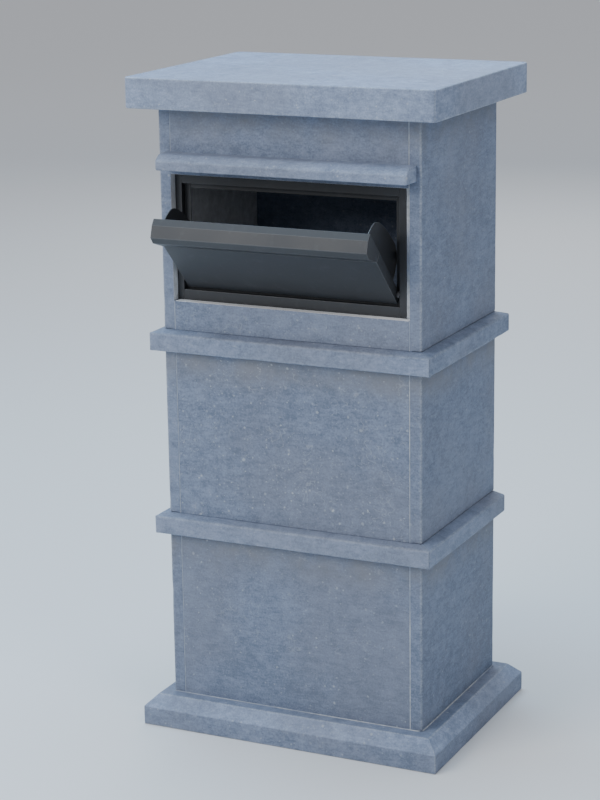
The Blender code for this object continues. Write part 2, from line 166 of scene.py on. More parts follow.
class Tree(Nodes):
    """A material, with short calls for its shader nodes."""

    def __init__(self, name):
        self.mat = bpy.data.materials.new(name)
        self.mat.use_nodes = True
        self.tree = self.mat.node_tree
        self.bsdf = self.tree.nodes["Principled BSDF"]
        self.place = self.add("ShaderNodeTexCoord").outputs["Object"]

    def noise(self, scale, detail=4.0, rough=0.55, at=None, distort=0.0):
        return self.add("ShaderNodeTexNoise", {
            "Vector": at or self.place, "Scale": scale, "Detail": detail, "Roughness": rough,
            "Distortion": distort}).outputs["Fac"]

    def cells(self, scale, at):
        made = self.add("ShaderNodeTexVoronoi", {"Vector": at, "Scale": scale})
        return made.outputs["Distance"], made.outputs["Color"]

    def sum(self, how, a, b=None, clamp=False):
        return self.add("ShaderNodeMath", {0: a, 1: b}, operation=how, use_clamp=clamp).outputs[0]

    def times(self, a, b, clamp=False):
        return self.sum("MULTIPLY", a, b, clamp)

    def plus(self, a, b):
        return self.sum("ADD", a, b)

    def most(self, a, b):
        return self.sum("MAXIMUM", a, b)

    def span(self, value, low, high, to_low=0.0, to_high=1.0, smooth=False):
        return self.add("ShaderNodeMapRange", {
            "Value": value, "From Min": low, "From Max": high, "To Min": to_low,
            "To Max": to_high}, interpolation_type="SMOOTHSTEP" if smooth else "LINEAR").outputs[0]

    def blend(self, fac, a, b, how="MIX"):
        return self.add("ShaderNodeMix", {"Factor": fac, 6: a, 7: b}, data_type="RGBA",
                        blend_type=how).outputs[2]

    def stretch(self, scale, turn=(0, 0, 0), at=None):
        return self.add("ShaderNodeMapping", {"Vector": at or self.place, "Scale": scale,
                                              "Rotation": turn}).outputs["Vector"]

    def shift(self, amount):
        """The place moved by a per-piece amount, so that each slab has its own figure."""
        return self.add("ShaderNodeVectorMath", {0: self.place, 1: amount},
                        operation="ADD").outputs[0]

    def torn(self, place, scale, amount):
        """The place pulled about by fine noise, so that a pattern's outlines are ragged."""
        wander = self.add("ShaderNodeTexNoise", {"Vector": place, "Scale": scale})
        return self.add("ShaderNodeVectorMath", {0: wander.outputs["Color"], 1: (amount,) * 3,
                                                 2: place}, operation="MULTIPLY_ADD").outputs[0]

    def split(self, tint):
        """The three parts of a colour."""
        return tuple(self.add("ShaderNodeSeparateColor", {0: tint}).outputs)

    def value(self, name):
        """A number that the piece's mesh carries."""
        return self.add("ShaderNodeAttribute", attribute_name=name).outputs["Fac"]

    def bump(self, height, strength, distance):
        made = self.add("ShaderNodeBump", {"Height": height, "Strength": strength,
                                           "Distance": distance})
        self.join(made.outputs["Normal"], self.bsdf.inputs["Normal"])

    def end(self, base, rough, metal=0.0, **fixed):
        self.join(base, self.bsdf.inputs["Base Color"])
        self.join(rough, self.bsdf.inputs["Roughness"])
        self.bsdf.inputs["Metallic"].default_value = metal
        for key, value in fixed.items():
            self.bsdf.inputs[key.replace("_", " ")].default_value = value
        return self.mat


def scaled(tint, by):
    return tuple(c * by for c in tint)


def stone_tone(t, own, slab):
    """Light and dark of the stone: broad clouds, mottling, fine grain and rubbed streaks."""
    cloud = t.noise(5.0, 5.0, 0.6, at=own, distort=0.3)
    mottle = t.noise(48.0, 6.0, 0.66, at=own)
    grain = t.noise(330.0, 3.0, 0.6, at=own)
    streaks = t.stretch((0.45, 0.45, 1.5), (0.35, 0.5, 0.2), own)
    rubbed = t.noise(80.0, 5.0, 0.62, at=streaks, distort=1.2)
    tone = t.plus(t.times(cloud, 0.34), t.times(mottle, 0.66))
    for source, weight in ((grain, 0.62), (rubbed, 0.62), (slab, 0.08)):
        tone = t.plus(tone, t.times(t.sum("SUBTRACT", source, 0.5), weight))
    return tone, mottle, grain


def fleck_layer(t, place, crowd, scale, size, rare, strength):
    """Flecks of one size: a few of the cells hold a pale dot of their own size and strength."""
    near, tint = t.cells(scale, place)
    chance, breadth, depth = t.split(tint)
    limit = t.sum("SUBTRACT", rare + 0.16, t.times(crowd, 0.36))
    picked = t.sum("GREATER_THAN", chance, limit)
    reach = t.times(t.span(breadth, 0.0, 1.0, 0.35, 1.0), size)
    dot = t.span(t.sum("DIVIDE", near, reach), 0.7, 1.25, 1.0, 0.0)
    dot = t.times(picked, dot)
    return t.times(dot, t.span(depth, 0.0, 1.0, 0.2 * strength, strength))


def fossils(t, own, mottle):
    """Pale flecks of four sizes, curled shell outlines and a few broken shells."""
    crowd = t.span(t.noise(9.0, 3.0, 0.55, at=own), 0.40, 0.66, smooth=True)
    torn = t.torn(own, 260.0, 0.0032)
    fleck = None
    for scale, size, rare, strength in ((300.0, 0.32, 0.62, 0.30), (150.0, 0.26, 0.58, 0.42),
                                        (75.0, 0.17, 0.56, 0.50), (38.0, 0.11, 0.66, 0.60)):
        dot = fleck_layer(t, torn, crowd, scale, size, rare, strength)
        fleck = dot if fleck is None else t.most(fleck, dot)
    chance = t.split(t.cells(31.0, own)[1])[0]
    curl = t.sum("ABSOLUTE", t.sum("SUBTRACT", t.noise(58.0, 1.5, 0.45, at=own), 0.5))
    curl = t.times(t.span(curl, 0.004, 0.017, 0.16, 0.0), t.sum("GREATER_THAN", chance, 0.86))
    near, tint = t.cells(15.0, t.stretch((0.8, 0.8, 2.6), (0.5, 0.4, 0.9), torn))
    ragged = t.plus(near, t.times(mottle, 0.16))
    whole = t.span(ragged, 0.10, 0.135, 0.62, 0.0)
    shell = t.times(t.sum("GREATER_THAN", t.split(tint)[0], 0.86), whole)
    fleck = t.most(fleck, t.most(curl, shell))
    return t.times(fleck, t.value("fossil"), clamp=True)


def bluestone(props):
    """Blue-grey limestone; each slab's own attributes shift, lighten (in places as painted light),
    dust and wear it.
    """
    t = Tree("bluestone")
    slab = t.value("slab")
    wear = t.value("wear")
    own = t.shift(t.times(slab, 7.3))
    tone, mottle, grain = stone_tone(t, own, slab)
    base = t.blend(t.span(tone, 0.29, 0.71), props.dark, props.light)
    # Painted light: the pale attribute lightens the base chamfer, the cap, the band faces and the
    # lintel to stand in for the light on them; on the moulding it lightens the stone evenly.
    pale = t.times(t.value("pale"), 0.42)
    base = t.blend(pale, base, (2.05, 2.03, 2.0), "MULTIPLY")
    warm = t.span(t.noise(3.4, 3.0, 0.5, at=own), 0.42, 0.62, smooth=True)
    base = t.blend(t.times(warm, 0.30), base, props.warm)
    under = t.span(t.value("below"), 0.0, 0.075, 0.85, 0.0, smooth=True)
    patchy = t.span(t.noise(16.0, 5.0, 0.6, at=own), 0.34, 0.62, 0.15, 1.0)
    base = t.blend(t.times(under, patchy), base, props.earth)
    fleck = fossils(t, own, mottle)
    base = t.blend(fleck, base, props.fleck)
    broken = t.plus(t.times(mottle, 0.5), t.times(grain, 0.5))
    chipped = t.times(wear, t.span(broken, 0.42, 0.62, 0.10, 0.36))
    base = t.blend(chipped, base, props.fleck)
    height = t.plus(t.times(grain, 0.6), t.times(mottle, 0.6))
    height = t.sum("SUBTRACT", height, t.times(fleck, 0.25))
    t.bump(height, 0.4, 0.0006)
    rough = t.plus(t.span(mottle, 0.3, 0.7, 0.60, 0.76), t.times(wear, 0.08))
    return t.end(base, rough, Specular_IOR_Level=0.35)


def joint_glue(props):
    t = Tree("joint_glue")
    spots = t.noise(120.0, 5.0, 0.6)
    base = t.blend(t.span(spots, 0.40, 0.66), props.glue, scaled(props.glue, 0.66))
    dusty = t.span(t.noise(13.0, 4.0, 0.6), 0.36, 0.60, 0.75, 0.0, smooth=True)
    apart = t.add("ShaderNodeSeparateXYZ", {0: t.place})
    dusty = t.most(dusty, t.span(apart.outputs[0], -0.20, 0.0, 0.55, 0.0))
    base = t.blend(dusty, base, props.light)
    t.bump(spots, 0.3, 0.0003)
    return t.end(base, 0.8)


def sawn_edge(props):
    """The pale sawn faces round the opening: sawn stone is paler, and the near-white colour is also
    painted light on these shaded faces.
    """
    t = Tree("sawn_edge")
    saw = t.noise(60.0, 5.0, 0.6, at=t.stretch((0.15, 1.0, 1.0)))
    fine = t.noise(420.0, 3.0, 0.6)
    base = t.blend(t.span(t.plus(saw, t.times(fine, 0.3)), 0.45, 0.85),
                   props.sawn, scaled(props.sawn, 0.74))
    t.bump(t.plus(saw, fine), 0.3, 0.0003)
    return t.end(base, 0.8)


def powder_coat(props):
    t = Tree("powder_coat")
    peel = t.noise(900.0, 2.0, 0.5)
    cloud = t.noise(11.0, 4.0, 0.55)
    dust = t.noise(60.0, 6.0, 0.65)
    base = t.blend(t.span(cloud, 0.3, 0.7), props.coat, scaled(props.coat, 1.22))
    base = t.blend(t.times(t.span(dust, 0.55, 0.8), 0.10), base, (0.20, 0.21, 0.22))
    base = t.blend(t.times(t.value("wear"), 0.35), base, (0.16, 0.165, 0.17))
    t.bump(t.plus(peel, t.times(cloud, 0.2)), 0.16, 0.00025)
    rough = t.plus(t.span(cloud, 0.3, 0.7, 0.40, 0.50), t.times(dust, 0.06))
    return t.end(base, rough, Specular_IOR_Level=0.5)


def bare_metal(name, tint, rough):
    t = Tree(name)
    turned = t.noise(700.0, 3.0, 0.6, at=t.stretch((1.0, 0.12, 1.0)))
    marks = t.noise(45.0, 5.0, 0.6)
    base = t.blend(t.span(marks, 0.35, 0.7), tint, scaled(tint, 0.72))
    t.bump(turned, 0.12, 0.0001)
    gloss = t.span(t.plus(marks, turned), 0.6, 1.4, rough - 0.08, rough + 0.12)
    return t.end(base, gloss, 1.0)


def soft_black(name, tint, rough):
    t = Tree(name)
    fine = t.noise(800.0, 3.0, 0.6)
    haze = t.noise(30.0, 4.0, 0.6)
    base = t.blend(t.span(haze, 0.4, 0.75), tint, tuple(c * 1.9 + 0.004 for c in tint))
    t.bump(fine, 0.2, 0.0002)
    return t.end(base, t.span(haze, 0.3, 0.7, rough - 0.05, rough + 0.08))


FINISH = {}


def finishes():
    """Every finish by its short name, made once."""
    if not FINISH:
        scene = bpy.context.scene
        stone, steel = scene.pillar_stone, scene.pillar_steel
        bare = steel.bare
        plated = (bare[0] * 1.08, bare[1] * 1.08, bare[2] * 1.04)
        FINISH["stone"] = bluestone(stone)
        FINISH["glue"] = joint_glue(stone)
        FINISH["sawn"] = sawn_edge(stone)
        FINISH["coat"] = powder_coat(steel)
        FINISH["steel"] = bare_metal("turned_steel", bare, 0.32)
        FINISH["zinc"] = bare_metal("zinc_plate", plated, 0.42)
        FINISH["rubber"] = soft_black("black_rubber", steel.rubber, 0.78)
        FINISH["nylon"] = soft_black("black_nylon", (0.03, 0.03, 0.033), 0.5)
    return FINISH


# ------------------------------------------------------------------ mesh helpers


def plain_mesh(bm, name):
    """The bmesh as a mesh with its faces turned outwards; the bmesh is freed."""
    bmesh.ops.recalc_face_normals(bm, faces=bm.faces)
    mesh = bpy.data.meshes.new(name)
    bm.to_mesh(mesh)
    bm.free()
    return mesh


def loose_object(bm, name):
    made = bpy.data.objects.new(name, plain_mesh(bm, name))
    bpy.context.scene.collection.objects.link(made)
    return made


def place_piece(mesh, name, look, body, stands_for=(), smooth=True):
    piece = bpy.data.objects.new(name, mesh)
    bpy.context.scene.collection.objects.link(piece)
    mesh.materials.clear()
    mesh.materials.append(finishes()[look])
    if smooth:
        mesh.shade_smooth()
    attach(piece, body)
    if stands_for:
        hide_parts(*stands_for)
    return piece


def stone_piece(bm, name, node):
    return place_piece(plain_mesh(bm, name), name, "stone", "pillar", [node])


def folded_piece(mesh, name, body, node):
    """A piece of coated steel sheet, flat shaded and marked along its rubbed edges."""
    worn_edges(mesh)
    return place_piece(mesh, name, "coat", body, [node], False)


def sawn_where(piece, test):
    """Gives the pale sawn look, partly painted light, to the faces the test picks by centre and
    direction.
    """
    piece.data.materials.append(finishes()["sawn"])
    for face in piece.data.polygons:
        if test(face.center, face.normal):
            face.material_index = 1


def applied(bm, *modifiers):
    """The bmesh as a plain mesh with Blender's own modifiers run on it."""
    made = loose_object(bm, "raw")
    for kind, values in modifiers:
        mod = made.modifiers.new(kind.lower(), kind)
        for key, value in values.items():
            setattr(mod, key, value)
    depsgraph = bpy.context.evaluated_depsgraph_get()
    out = bpy.data.meshes.new_from_object(made.evaluated_get(depsgraph))
    for _, values in modifiers:
        if isinstance(values.get("object"), bpy.types.Object):
            bpy.data.objects.remove(values["object"], do_unlink=True)
    bpy.data.objects.remove(made, do_unlink=True)
    return out


def bevel(width, segments=2, angle=32):
    return ("BEVEL", {"width": width, "segments": segments, "limit_method": "ANGLE",
                      "angle_limit": math.radians(angle), "harden_normals": False})


def stops(size, edge, cell, marks=()):
    """Mesh lines along one side: close together at both ends, even between them."""
    near = [v * edge for v in (0.0, 0.12, 0.36, 0.66, 1.0, 1.7)]
    near = [v for v in near if v < size / 2 - 1e-5]
    inner = size - 2 * near[-1]
    count = max(1, round(inner / cell))
    mid = [near[-1] + inner * i / count for i in range(1, count)]
    lines = near + mid + [size - v for v in reversed(near)]
    for mark in marks:
        lines = [v for v in lines if abs(v - mark) > 2e-4]
        lines.append(mark)
    return np.array(sorted(lines))


def box_grid(lo, hi, lines):
    """Points and quads of a box's six faces, each a grid on the given lines."""
    verts, quads, start = [], [], 0
    for axis in range(3):
        a, b = [k for k in range(3) if k != axis]
        for end in (lo[axis], hi[axis]):
            grid_a, grid_b = np.meshgrid(lines[a], lines[b], indexing="ij")
            points = np.zeros((grid_a.size, 3))
            points[:, axis] = end
            points[:, a], points[:, b] = grid_a.ravel(), grid_b.ravel()
            index = np.arange(grid_a.size).reshape(grid_a.shape) + start
            quads.append(np.stack([index[:-1, :-1], index[1:, :-1], index[1:, 1:],
                                   index[:-1, 1:]], -1).reshape(-1, 4))
            verts.append(points)
            start += grid_a.size
    return np.vstack(verts), np.vstack(quads)


def worn_radius(points, near_edge, seed, chip):
    """The arris radius wanders near the edges and grows where the stone has spalled."""
    radius = np.ones(len(points))
    for i in np.nonzero(near_edge)[0]:
        at = Vector(points[i]) + Vector((seed * 1.7, seed * 0.9, seed * 2.3))
        small = noise.noise(at * 90.0)
        large = max(0.0, noise.noise(at * 34.0) - 0.28)
        radius[i] = 1.0 + chip * (0.05 * small + 2.6 * large)
    return radius


def slab_mesh(lo, hi, seed, props, edge, warp=None, marks=((), (), ()), soft=None, worn=None,
              below=1.0, pale=0.0, fossil=1.0):
    """A block with worn arrises: each face is a grid, and near an edge it rounds off unevenly.

    warp reshapes the points and marks adds mesh lines; soft scales the arris and worn its wear.
    below is the depth under a band (one in brackets is measured from the top of the slab).
    """
    lo, hi = np.array(lo, float), np.array(hi, float)
    lines = [lo[k] + stops(hi[k] - lo[k], edge, props.cell, [m - lo[k] for m in marks[k]])
             for k in range(3)]
    points, quads = box_grid(lo, hi, lines)
    count = len(points)
    gaps = np.sort(np.minimum(points - lo, hi - points), axis=1)
    radius = np.clip(edge * soft(points), 0.0002, edge) if soft else np.full(count, edge)
    radius = radius * worn_radius(points, gaps[:, 1] < 3 * edge, seed, props.chip)
    radius = np.minimum(radius, 1.6 * edge)[:, None]
    core = np.clip(points, lo + radius, hi - radius)
    off = points - core
    size = np.linalg.norm(off, axis=1, keepdims=True)
    shaped = core + off / np.maximum(size, 1e-9) * radius
    wear = np.clip(1.4 - gaps[:, 1] / edge, 0.0, 1.0)
    if worn:
        wear = wear * worn(points)
    depth = below if np.ndim(below) == 0 else hi[2] - points[:, 2] + below[0]
    # pale: how far the stone is lightened; on most slabs this is painted light on chosen faces.
    light = pale(points) if callable(pale) else pale
    if warp:
        shaped = warp(shaped)
    mesh = bpy.data.meshes.new("slab")
    mesh.from_pydata(shaped.tolist(), [], quads.tolist())
    for name, values in (("wear", wear), ("slab", (seed * 0.61803) % 1.0), ("below", depth),
                         ("pale", light), ("fossil", fossil)):
        layer = mesh.attributes.new(name, "FLOAT", "POINT")
        layer.data.foreach_set("value", (np.zeros(count) + values).astype(np.float32))
    bm = bmesh.new()
    bm.from_mesh(mesh)
    bpy.data.meshes.remove(mesh)
    bmesh.ops.remove_doubles(bm, verts=bm.verts, dist=2e-6)
    return bm


def fillet(points, radii, steps=5):
    """Round a closed outline's corners by their own radii; a radius of 0 leaves one sharp."""
    out = []
    for i, radius in enumerate(radii):
        here = Vector(points[i])
        back = Vector(points[i - 1]) - here
        on = Vector(points[(i + 1) % len(points)]) - here
        half = back.angle(on) / 2
        if radius <= 0 or half > math.radians(89):
            out.append(tuple(here))
            continue
        cut = min(radius / math.tan(half), 0.45 * back.length, 0.45 * on.length)
        first, last = here + back.normalized() * cut, here + on.normalized() * cut
        centre = here + (back.normalized() + on.normalized()).normalized() * cut / math.cos(half)
        for k in range(steps + 1):
            ray = (first - centre).lerp(last - centre, k / steps).normalized()
            out.append(tuple(centre + ray * (first - centre).length))
    return out


def bridge(bm, rows):
    """Quads between neighbouring rows of vertices, each row closed on itself."""
    for first, last in zip(rows, rows[1:]):
        for i in range(len(first)):
            j = (i + 1) % len(first)
            bm.faces.new((first[i], first[j], last[j], last[i]))


def sweep(outline, axis, span, mapper=None):
    """A closed outline pushed along an axis, as a bmesh."""
    bm = bmesh.new()
    if mapper:
        outline = [mapper(a, b) for a, b in outline]
    spots = {"X": lambda a, b, end: (end, a, b), "Z": lambda a, b, end: (a, b, end)}[axis]
    rows = [[bm.verts.new(spots(a, b, end)) for a, b in outline] for end in span]
    bridge(bm, rows)
    bm.faces.new(rows[0])
    bm.faces.new(rows[-1])
    return bm


def merge(*parts):
    """Several bmeshes as one."""
    out = bmesh.new()
    for part in parts:
        mesh = plain_mesh(part, "part")
        out.from_mesh(mesh)
        bpy.data.meshes.remove(mesh)
    return out


def worn_edges(mesh, breadth=0.0011):
    """Marks the narrow faces along the edges, so that the coat can show a rubbed edge there."""
    layer = mesh.attributes.new("wear", "FLOAT", "FACE")
    spots = [Vector(v.co) for v in mesh.vertices]
    for face in mesh.polygons:
        corners = [spots[i] for i in face.vertices]
        longest = max((a - b).length for a, b in zip(corners, corners[1:] + corners[:1]))
        layer.data[face.index].value = 1.0 if face.area < breadth * longest else 0.0


def block(lo, hi):
    bm = bmesh.new()
    bmesh.ops.create_cube(bm, size=1.0)
    for vert in bm.verts:
        vert.co = Vector([lo[k] if vert.co[k] < 0 else hi[k] for k in range(3)])
    return bm


# ------------------------------------------------------------------ geometry nodes


class Shape(Nodes):
    """A geometry node tree with named inputs."""

    def __init__(self, name, inputs):
        self.tree = bpy.data.node_groups.new(name, "GeometryNodeTree")
        face = self.tree.interface
        face.new_socket("Geometry", in_out="INPUT", socket_type="NodeSocketGeometry")
        self.ids = {}
        for label, kind, default in inputs:
            made = face.new_socket(label, in_out="INPUT", socket_type="NodeSocket" + kind)
            if default is not None:
                made.default_value = default
            self.ids[label] = made.identifier
        face.new_socket("Geometry", in_out="OUTPUT", socket_type="NodeSocketGeometry")
        self.given = self.add("NodeGroupInput").outputs

    def close(self, geometry):
        real = self.add("GeometryNodeRealizeInstances", {0: geometry})
        paint = self.add("GeometryNodeSetMaterial",
                         {"Geometry": real.outputs[0], "Material": self.given["Material"]})
        self.add("NodeGroupOutput", {0: paint.outputs[0]})

    def run(self, mesh, values):
        made = bpy.data.objects.new("seedling", mesh)
        mod = made.modifiers.new("shape", "NODES")
        mod.node_group = self.tree
        for label, value in values.items():
            mod[self.ids[label]] = value
        bpy.context.scene.collection.objects.link(made)
        depsgraph = bpy.context.evaluated_depsgraph_get()
        out = bpy.data.meshes.new_from_object(made.evaluated_get(depsgraph))
        bpy.data.objects.remove(made, do_unlink=True)
        return out


def bead_shape():
    """Glue squeezed out of a joint: a thin uneven strip along each edge of the input mesh."""
    s = Shape("joint_bead", [("Width", "Float", 0.002), ("Depth", "Float", 0.006),
                             ("Wander", "Float", 0.00015), ("Seed", "Float", 1.0),
                             ("Material", "Material", None)])
    curve = s.add("GeometryNodeMeshToCurve", {"Mesh": s.given["Geometry"]})
    even = s.add("GeometryNodeResampleCurve", {"Curve": curve.outputs[0], "Length": 0.012},
                 mode="LENGTH")
    place = s.add("GeometryNodeInputPosition")
    wave = s.add("ShaderNodeTexNoise",
                 {"Vector": place.outputs[0], "W": s.given["Seed"], "Scale": 55.0},
                 noise_dimensions="4D")
    centred = s.add("ShaderNodeVectorMath", {0: wave.outputs["Color"], 1: (0.5, 0.5, 0.5)},
                    operation="SUBTRACT")
    small = s.add("ShaderNodeVectorMath", {0: centred.outputs[0], "Scale": s.given["Wander"]},
                  operation="SCALE")
    move = s.add("GeometryNodeSetPosition",
                 {"Geometry": even.outputs[0], "Offset": small.outputs[0]})
    profile = s.add("GeometryNodeCurvePrimitiveQuadrilateral",
                    {0: s.given["Width"], 1: s.given["Depth"]}, mode="RECTANGLE")
    strip = s.add("GeometryNodeCurveToMesh", {"Curve": move.outputs[0], "Fill Caps": True,
                                              "Profile Curve": profile.outputs[0]})
    s.close(strip.outputs[0])
    return s


def rivet_shape():
    """A low domed rivet at each vertex of the input mesh, facing the way it is told to."""
    s = Shape("rivet_row", [("Radius", "Float", 0.003), ("Height", "Float", 0.0012),
                            ("Facing", "Vector", (0.0, 1.0, 0.0)), ("Material", "Material", None)])
    dome = s.add("GeometryNodeMeshUVSphere",
                 {"Segments": 20, "Rings": 10, "Radius": s.given["Radius"]})
    flat = s.add("ShaderNodeMath", {0: s.given["Height"], 1: s.given["Radius"]},
                 operation="DIVIDE")
    squash = s.add("ShaderNodeCombineXYZ", {"X": 1.0, "Y": 1.0, "Z": flat.outputs[0]})
    turn = s.add("FunctionNodeAlignRotationToVector", {"Vector": s.given["Facing"]}, axis="Z")
    seat = s.add("GeometryNodeInstanceOnPoints",
                 {"Points": s.given["Geometry"], "Instance": dome.outputs["Mesh"],
                  "Rotation": turn.outputs[0], "Scale": squash.outputs[0]})
    smooth = s.add("GeometryNodeSetShadeSmooth", {"Geometry": seat.outputs[0]})
    s.close(smooth.outputs[0])
    return s


def lines_mesh(runs):
    """Poly lines as a mesh of edges; a closed run repeats its first point."""
    mesh = bpy.data.meshes.new("lines")
    verts, edges = [], []
    for run in runs:
        base = len(verts)
        closed = len(run) > 2 and run[0] == run[-1]
        points = run[:-1] if closed else run
        verts += points
        edges += [(base + i, base + i + 1) for i in range(len(points) - 1)]
        if closed:
            edges.append((base + len(points) - 1, base))
    mesh.from_pydata(verts, edges, [])
    return mesh


# ------------------------------------------------------------------ stone

SIDES = ("left", "right")
SECTIONS = ("lower", "middle", "upper")
FRONT_PANELS = ("lower_front_panel", "middle_front_panel", "sill_panel", "lintel_panel")
CHAMFER_Z, CHAMFER_IN = 0.032, 0.020  # where the base slab's chamfer starts, and how far in it goes
KNEE = 0.0012  # half the height over which the base slab's face turns into the chamfer
BAND_ARRIS = 0.0026  # rounding of a band's edges
BAND_RISE = 0.005  # how far a band's top climbs towards the wall
DRIP_SLOPE, DRIP_FRONT, DRIP_TOP = 0.012, 0.0155, 0.025  # depth of the slope, heights at its ends


def top_or_face(top_z, on_top, on_face):
    """Paleness of a slab whose top differs from its faces: painted light, lightening top and faces by
    different amounts for how the light falls on them.
    """
    return lambda points: np.where(points[:, 2] > top_z - ON_TOP, on_top, on_face)


class PILLAR_OT_slabs(bpy.types.Operator):
    """Side slabs, front panels, lintel, sill and back panel of the shaft"""

    bl_idname = "pillar.slabs"
    bl_label = "Shaft slabs"

    def execute(self, context):
        props = context.scene.pillar_stone
        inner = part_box("lower_side_right")[0][0]
        frame_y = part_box("insert_frame")[0][1]
        sill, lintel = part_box("sill_panel")[1][2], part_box("lintel_panel")[0][2]
        least = props.tight / props.arris

        def outer_only(points):
            return np.where(np.abs(points[:, 0]) > inner + 0.004, 1.0, least)

        def outer_wear(points):
            return np.where(np.abs(points[:, 0]) > inner + 0.006, 1.0, 0.0)

        def jamb(centre, normal):
            return abs(normal.x) > 0.8 and abs(centre.x) < inner + 0.001 and sill < centre.z < lintel

        seed = 2.0
        for section in SECTIONS:
            for side in SIDES:
                node = section + "_side_" + side
                lo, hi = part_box(node)
                marks = ((), (frame_y,), (sill, lintel) if section == "upper" else ())
                bm = slab_mesh(lo, hi, seed, props, props.arris, None, marks, outer_only,
                               outer_wear, (0.0,), fossil=0.55)
                piece = stone_piece(bm, node + "_slab", node)
                if section == "upper":
                    sawn_where(piece, jamb)
                seed += 1.37
        inset = props.joint - GAP
        for node in FRONT_PANELS + ("upper_back_panel",):
            lo, hi = (list(v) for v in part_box(node))
            lo[0], hi[0] = lo[0] + inset, hi[0] - inset
            # Painted light: the lintel is lightened (pale 0.30) to make up for the shade it lies in
            # under the cap.
            bm = slab_mesh(lo, hi, seed + 11.0, props, props.tight * 2,
                           worn=lambda points: 0.0 * points[:, 0],
                           below=(0.1,) if node == "sill_panel" else (0.0,),
                           pale=0.30 if node == "lintel_panel" else 0.0,
                           fossil={"lintel_panel": 0.25, "middle_front_panel": 1.25}.get(node, 0.9))
            piece = stone_piece(bm, node + "_slab", node)
            if node == "sill_panel":
                sawn_where(piece, lambda c, n: n.z > 0.7)
            if node == "lintel_panel":
                sawn_where(piece, lambda c, n: n.z < -0.7)
            seed += 2.11
        return {"FINISHED"}


class PILLAR_OT_base(bpy.types.Operator):
    """Base slab with its chamfered top edge"""

    bl_idname = "pillar.base"
    bl_label = "Base slab"

    def execute(self, context):
        props = context.scene.pillar_stone
        lo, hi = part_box("base_slab")
        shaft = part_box("lower_side_right")[1]

        def chamfer(points):
            rise = points[:, 2] - CHAMFER_Z
            rise = np.where(rise > KNEE, rise, np.maximum(rise + KNEE, 0.0) ** 2 / (4 * KNEE))
            inward = np.clip(rise / (hi[2] - CHAMFER_Z), 0.0, 1.0) * CHAMFER_IN
            points[:, 0] *= 1 - inward / hi[0]
            points[:, 1] *= 1 - inward / hi[1]
            return points

        marks = ((-shaft[0], shaft[0]), (-shaft[1], shaft[1]),
                 (CHAMFER_Z - KNEE, CHAMFER_Z, CHAMFER_Z + KNEE))

        # Painted light: the chamfer is made paler than the faces and the top, as if it caught more
        # light from above while the front lay in shade.
        def rubbed(points):
            on_chamfer = (points[:, 2] > CHAMFER_Z - 0.0008) & (points[:, 2] < hi[2] - ON_TOP)
            return np.where(on_chamfer, 1.0, 0.25)

        bm = slab_mesh(lo, hi, 31.0, props, 0.0014, chamfer, marks, pale=rubbed, fossil=0.8)
        stone_piece(bm, "base_slab_chamfered", "base_slab")
        return {"FINISHED"}


class PILLAR_OT_cap(bpy.types.Operator):
    """Cap slab"""

    bl_idname = "pillar.cap"
    bl_label = "Cap slab"

    def execute(self, context):
        props = context.scene.pillar_stone
        lo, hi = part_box("cap_slab")
        turn = props.corner

        def round_corners(points):
            for near in (-1, 1):
                for far in (-1, 1):
                    centre = np.array([near * (hi[0] - turn), far * (hi[1] - turn)])
                    out = (points[:, :2] - centre) * (near, far)
                    inside = (out[:, 0] > 0) & (out[:, 1] > 0)
                    part = out[inside]
                    part *= (part.max(axis=1) / np.linalg.norm(part, axis=1))[:, None]
                    points[inside, :2] = centre + part * (near, far)
            return points

        steps = [turn * v for v in (1.0, 0.8, 0.62, 0.46, 0.32)]
        marks = ([side * (hi[0] - v) for side in (-1, 1) for v in steps],
                 [side * (hi[1] - v) for side in (-1, 1) for v in steps], ())
        # Painted light: the cap's faces are lightened more than its top (0.90 against 0.66).
        bm = slab_mesh(lo, hi, 41.0, props, 0.0021, round_corners, marks,
                       pale=top_or_face(hi[2], 0.66, 0.90), fossil=1.1)
        stone_piece(bm, "cap_slab_worn", "cap_slab")
        return {"FINISHED"}


